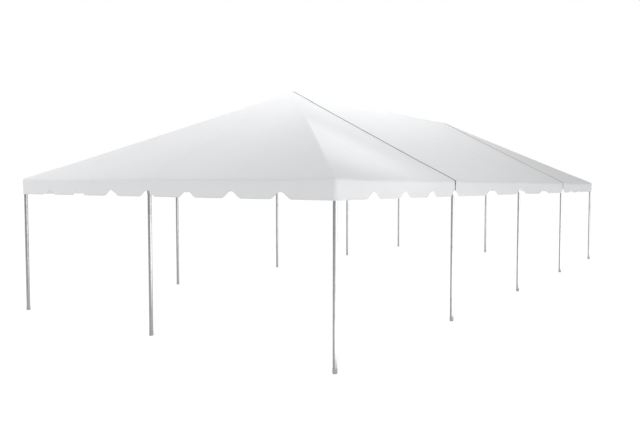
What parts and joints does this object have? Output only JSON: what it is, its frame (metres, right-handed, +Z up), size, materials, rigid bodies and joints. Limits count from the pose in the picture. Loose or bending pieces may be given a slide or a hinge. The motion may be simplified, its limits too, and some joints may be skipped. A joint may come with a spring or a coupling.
{
  "type": "hip-end frame tent",
  "caption": "Rectangular frame tent: tube legs, an eave frame with rafters and a ridge pole, and a white hipped fabric top with a scalloped valance.",
  "frame": {"origin": "centre of the covered ground, at the level of the leg feet", "axes": "+Z up, Y along the tent's long axis with the front end at -Y, +X to the right seen from the front"},
  "size_m": [6.1006, 12.192, 3.6348],
  "materials": {
    "aluminium_tube": "satin, slightly dulled outdoors",
    "galvanised_fitting": "dull grey galvanised pipe",
    "white_fabric": "white coated polyester, satin",
    "seam_strip": "grey webbing, matt"
  },
  "bodies": {
    "root": {"front_left_leg": "aluminium_tube", "front_middle_leg": "aluminium_tube", "front_right_leg": "aluminium_tube", "back_left_leg": "aluminium_tube", "back_middle_leg": "aluminium_tube", "back_right_leg": "aluminium_tube", "left_leg_1": "aluminium_tube", "left_leg_2": "aluminium_tube", "left_leg_3": "aluminium_tube", "right_leg_1": "aluminium_tube", "right_leg_2": "aluminium_tube", "right_leg_3": "aluminium_tube", "front_left_corner_fitting": "galvanised_fitting", "front_right_corner_fitting": "galvanised_fitting", "back_left_corner_fitting": "galvanised_fitting", "back_right_corner_fitting": "galvanised_fitting", "front_eave_rail": "aluminium_tube", "back_eave_rail": "aluminium_tube", "left_eave_rail": "aluminium_tube", "right_eave_rail": "aluminium_tube", "left_rafter_1": "aluminium_tube", "left_rafter_2": "aluminium_tube", "left_rafter_3": "aluminium_tube", "right_rafter_1": "aluminium_tube", "right_rafter_2": "aluminium_tube", "right_rafter_3": "aluminium_tube", "front_rafter": "aluminium_tube", "back_rafter": "aluminium_tube", "front_left_hip_rafter": "aluminium_tube", "front_right_hip_rafter": "aluminium_tube", "back_left_hip_rafter": "aluminium_tube", "back_right_hip_rafter": "aluminium_tube", "front_crown_fitting": "galvanised_fitting", "back_crown_fitting": "galvanised_fitting", "ridge_pole": "aluminium_tube", "front_roof_panel": "white_fabric", "back_roof_panel": "white_fabric", "front_left_roof_panel": "white_fabric", "front_right_roof_panel": "white_fabric", "back_left_roof_panel": "white_fabric", "back_right_roof_panel": "white_fabric", "middle_left_roof_panel": "white_fabric", "middle_right_roof_panel": "white_fabric", "front_seam_strip": "seam_strip", "back_seam_strip": "seam_strip"}
  },
  "joints": []
}
